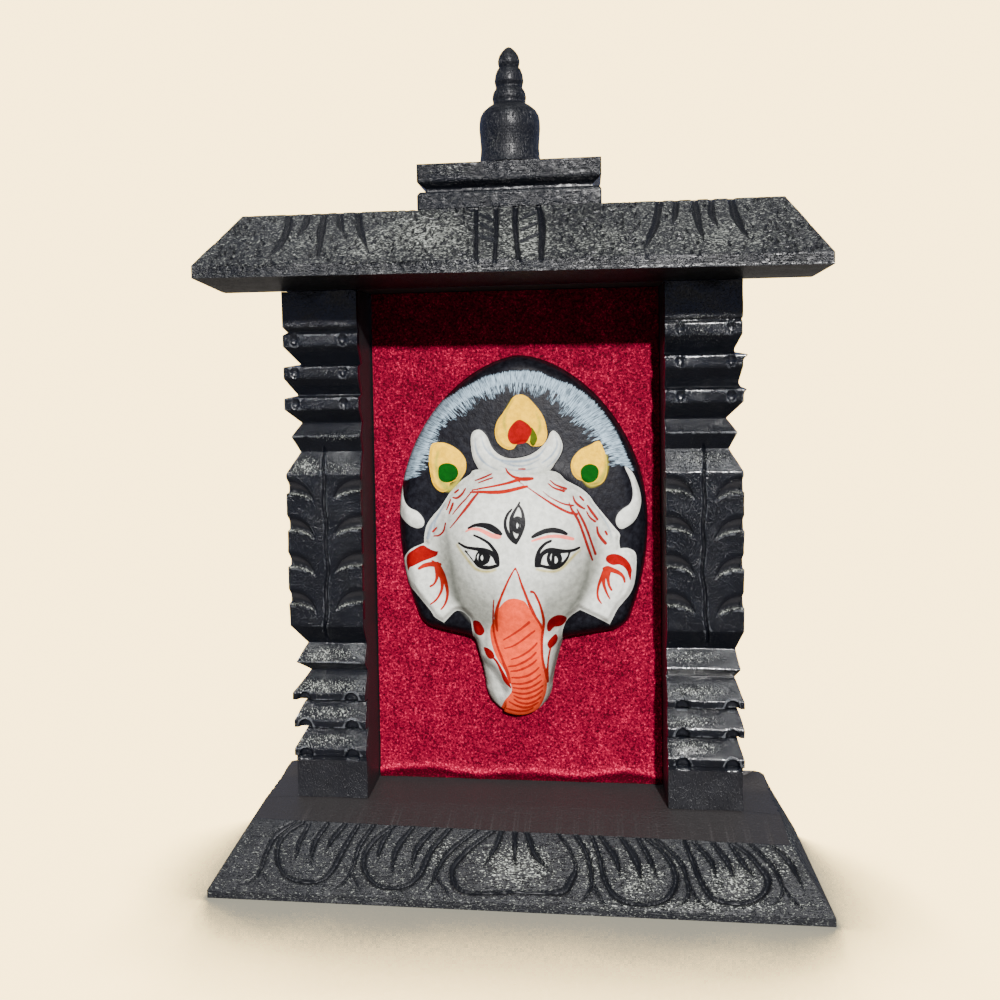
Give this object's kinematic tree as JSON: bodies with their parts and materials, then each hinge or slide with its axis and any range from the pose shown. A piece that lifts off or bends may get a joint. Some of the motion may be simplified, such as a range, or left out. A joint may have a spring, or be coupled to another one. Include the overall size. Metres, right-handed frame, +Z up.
{
  "type": "framed deity mask",
  "caption": "Black carved wooden shrine frame shaped like a small temple front, holding a painted pressed elephant-headed deity mask on red velvet; stands alone or against a wall.",
  "frame": {"origin": "on the ground under the middle of the base's outline", "axes": "+Z up, -Y out of the carved front, +X to the right seen from the front"},
  "size_m": [0.254, 0.082, 0.3605],
  "materials": {
    "black_wood": "black paint over open-pored carved wood, satin, worn shiny on the edges",
    "board": "plain board, thinly stained black",
    "velvet": "crushed crimson velvet, glued down over the board",
    "mask_paint": "pressed paper pulp, gessoed white and hand painted in black, red, orange, yellow and green"
  },
  "bodies": {
    "root": {"base_plinth": "black_wood", "post_left": "black_wood", "post_right": "black_wood", "roof": "black_wood", "cap_rail": "black_wood", "ridge_block": "black_wood", "finial": "black_wood", "backing_board": "board", "velvet_panel": "velvet", "mask": "mask_paint"}
  },
  "joints": []
}
